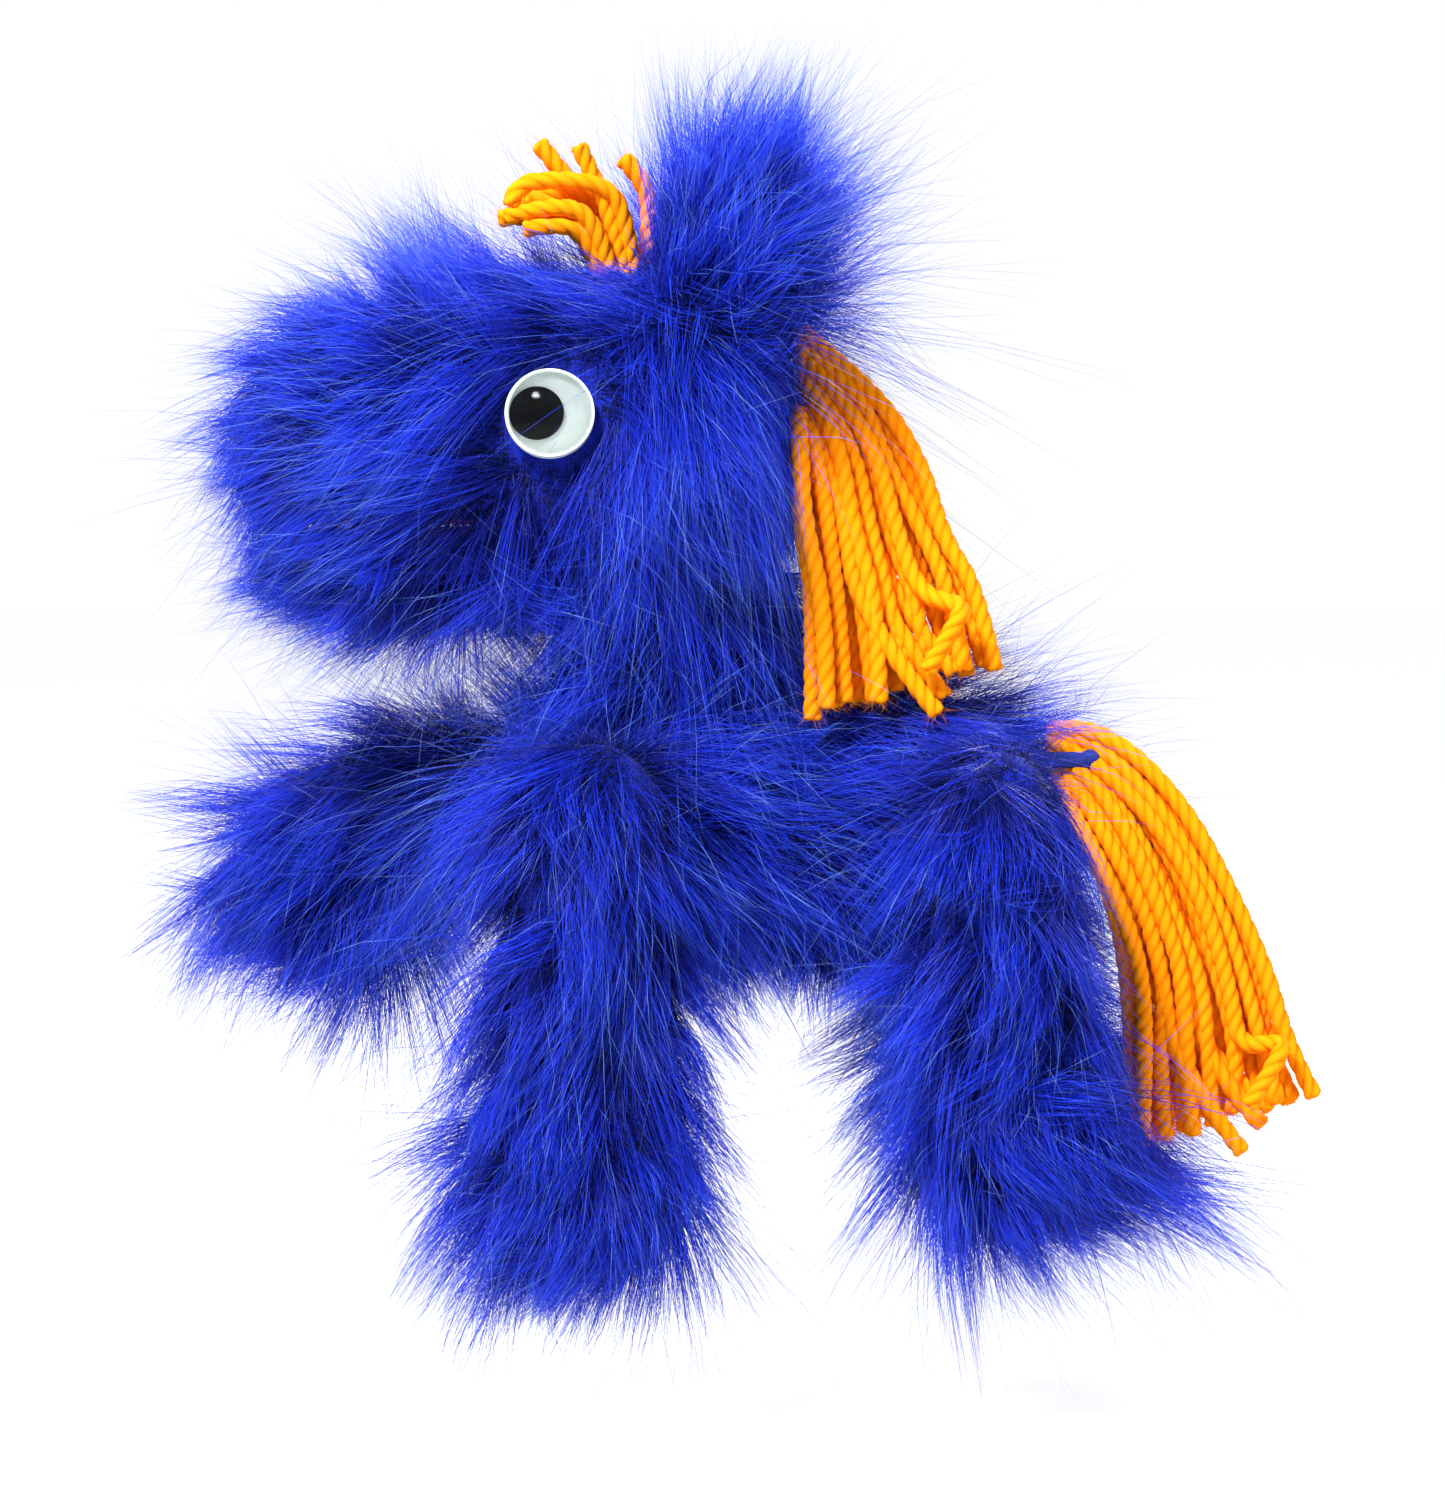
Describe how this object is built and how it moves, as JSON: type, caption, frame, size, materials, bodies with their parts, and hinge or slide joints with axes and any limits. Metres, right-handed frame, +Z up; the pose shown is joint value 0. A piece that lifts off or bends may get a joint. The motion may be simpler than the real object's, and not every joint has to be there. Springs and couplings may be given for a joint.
{
  "type": "moving mouth hand puppet",
  "caption": "Plush pony hand puppet with a hinged mouth, long-pile fur, yarn mane and tail, loose-pupil eyes and jointed legs.",
  "frame": {"origin": "centre of the round hand opening under the belly", "axes": "+Z up, the pony faces -X, its left side is -Y"},
  "size_m": [0.3255, 0.1986, 0.336],
  "materials": {
    "blue_fur": "matte",
    "fur_backing": "matte",
    "polyester_stuffing": "matte",
    "foam": "matte",
    "lining_cloth": "matte",
    "hem_tape": "matte",
    "mouth_felt": "matte",
    "mouth_board": "matte",
    "orange_yarn": "matte",
    "eye_white": "gloss",
    "eye_clear": "gloss",
    "eye_black": "satin"
  },
  "bodies": {
    "torso": {"body_fur_cover": "blue_fur", "body_stuffing": "polyester_stuffing", "hand_sleeve_lining": "lining_cloth", "opening_hem_band": "hem_tape", "tail_loop": "hem_tape", "front_left_hip_seam": "fur_backing", "front_right_hip_seam": "fur_backing", "rear_left_hip_seam": "fur_backing", "rear_right_hip_seam": "fur_backing"},
    "neck": {"neck_fur_cover": "blue_fur", "neck_lining": "lining_cloth"},
    "head": {"head_fur_cover": "blue_fur", "head_foam_block": "foam", "finger_pocket": "lining_cloth", "upper_mouth_board": "mouth_board", "upper_mouth_felt": "mouth_felt", "mouth_fold": "mouth_felt", "forelock_yarn": "orange_yarn", "mane_yarn": "orange_yarn", "mane_tape": "hem_tape", "left_ear": "blue_fur", "right_ear": "blue_fur", "left_eye_base": "eye_white", "left_eye_dome": "eye_clear", "right_eye_base": "eye_white", "right_eye_dome": "eye_clear"},
    "jaw": {"jaw_fur_cover": "blue_fur", "jaw_padding": "polyester_stuffing", "thumb_pocket": "lining_cloth", "lower_mouth_board": "mouth_board", "lower_mouth_felt": "mouth_felt"},
    "left_pupil": {"left_pupil": "eye_black"},
    "right_pupil": {"right_pupil": "eye_black"},
    "tail": {"tail_yarn": "orange_yarn"},
    "front_left_upper_leg": {"front_left_upper_leg_cover": "blue_fur", "front_left_upper_leg_stuffing": "polyester_stuffing"},
    "front_left_lower_leg": {"front_left_lower_leg_cover": "blue_fur", "front_left_lower_leg_stuffing": "polyester_stuffing"},
    "front_right_upper_leg": {"front_right_upper_leg_cover": "blue_fur", "front_right_upper_leg_stuffing": "polyester_stuffing"},
    "front_right_lower_leg": {"front_right_lower_leg_cover": "blue_fur", "front_right_lower_leg_stuffing": "polyester_stuffing"},
    "rear_left_upper_leg": {"rear_left_upper_leg_cover": "blue_fur", "rear_left_upper_leg_stuffing": "polyester_stuffing"},
    "rear_left_lower_leg": {"rear_left_lower_leg_cover": "blue_fur", "rear_left_lower_leg_stuffing": "polyester_stuffing"},
    "rear_right_upper_leg": {"rear_right_upper_leg_cover": "blue_fur", "rear_right_upper_leg_stuffing": "polyester_stuffing"},
    "rear_right_lower_leg": {"rear_right_lower_leg_cover": "blue_fur", "rear_right_lower_leg_stuffing": "polyester_stuffing"}
  },
  "joints": [
    {"name": "neck_turn", "type": "hinge", "parent": "torso", "child": "neck", "pos_m": [-0.022, 0, 0.045], "axis": [0, 0, 1], "range_deg": [-35, 35]},
    {"name": "head_nod", "type": "hinge", "parent": "neck", "child": "head", "pos_m": [-0.022, 0, 0.101], "axis": [0, -1, 0], "range_deg": [-20, 15], "deforming": ["mane_yarn"]},
    {"name": "jaw_open", "type": "hinge", "parent": "head", "child": "jaw", "pos_m": [-0.068, 0, 0.1146], "axis": [0, -1, 0], "range_deg": [0, 32]},
    {"name": "tail_swing", "type": "hinge", "parent": "torso", "child": "tail", "pos_m": [0.09, 0, 0.05], "axis": [0, -1, 0], "range_deg": [-12, 40]},
    {"name": "left_pupil_roll", "type": "hinge", "parent": "head", "child": "left_pupil", "pos_m": [-0.0575, -0.04137, 0.14404], "axis": [0, -0.9816, 0.1908], "continuous": true},
    {"name": "right_pupil_roll", "type": "hinge", "parent": "head", "child": "right_pupil", "pos_m": [-0.0575, 0.04137, 0.14404], "axis": [0, 0.9816, 0.1908], "continuous": true},
    {"name": "front_left_hip", "type": "hinge", "parent": "torso", "child": "front_left_upper_leg", "pos_m": [-0.046, -0.05, 0.037], "axis": [0, 1, 0], "range_deg": [-17, 58]},
    {"name": "front_left_knee", "type": "hinge", "parent": "front_left_upper_leg", "child": "front_left_lower_leg", "pos_m": [-0.04823, -0.05, -0.02696], "axis": [0, 1, 0], "range_deg": [-46, 7]},
    {"name": "front_right_hip", "type": "hinge", "parent": "torso", "child": "front_right_upper_leg", "pos_m": [-0.046, 0.05, 0.037], "axis": [0.3746, 0.9272, 0], "range_deg": [-101, 4]},
    {"name": "front_right_knee", "type": "hinge", "parent": "front_right_upper_leg", "child": "front_right_lower_leg", "pos_m": [-0.1052, 0.07392, 0.03254], "axis": [0.3746, 0.9272, 0], "range_deg": [-8, 45]},
    {"name": "rear_left_hip", "type": "hinge", "parent": "torso", "child": "rear_left_upper_leg", "pos_m": [0.066, -0.05, 0.039], "axis": [0, 1, 0], "range_deg": [-47, 10]},
    {"name": "rear_left_knee", "type": "hinge", "parent": "rear_left_upper_leg", "child": "rear_left_lower_leg", "pos_m": [0.06377, -0.05, -0.02496], "axis": [0, 1, 0], "range_deg": [-32, 21]},
    {"name": "rear_right_hip", "type": "hinge", "parent": "torso", "child": "rear_right_upper_leg", "pos_m": [0.066, 0.05, 0.039], "axis": [0, 1, 0], "range_deg": [-47, 10]},
    {"name": "rear_right_knee", "type": "hinge", "parent": "rear_right_upper_leg", "child": "rear_right_lower_leg", "pos_m": [0.06377, 0.05, -0.02496], "axis": [0, 1, 0], "range_deg": [-32, 21]}
  ]
}
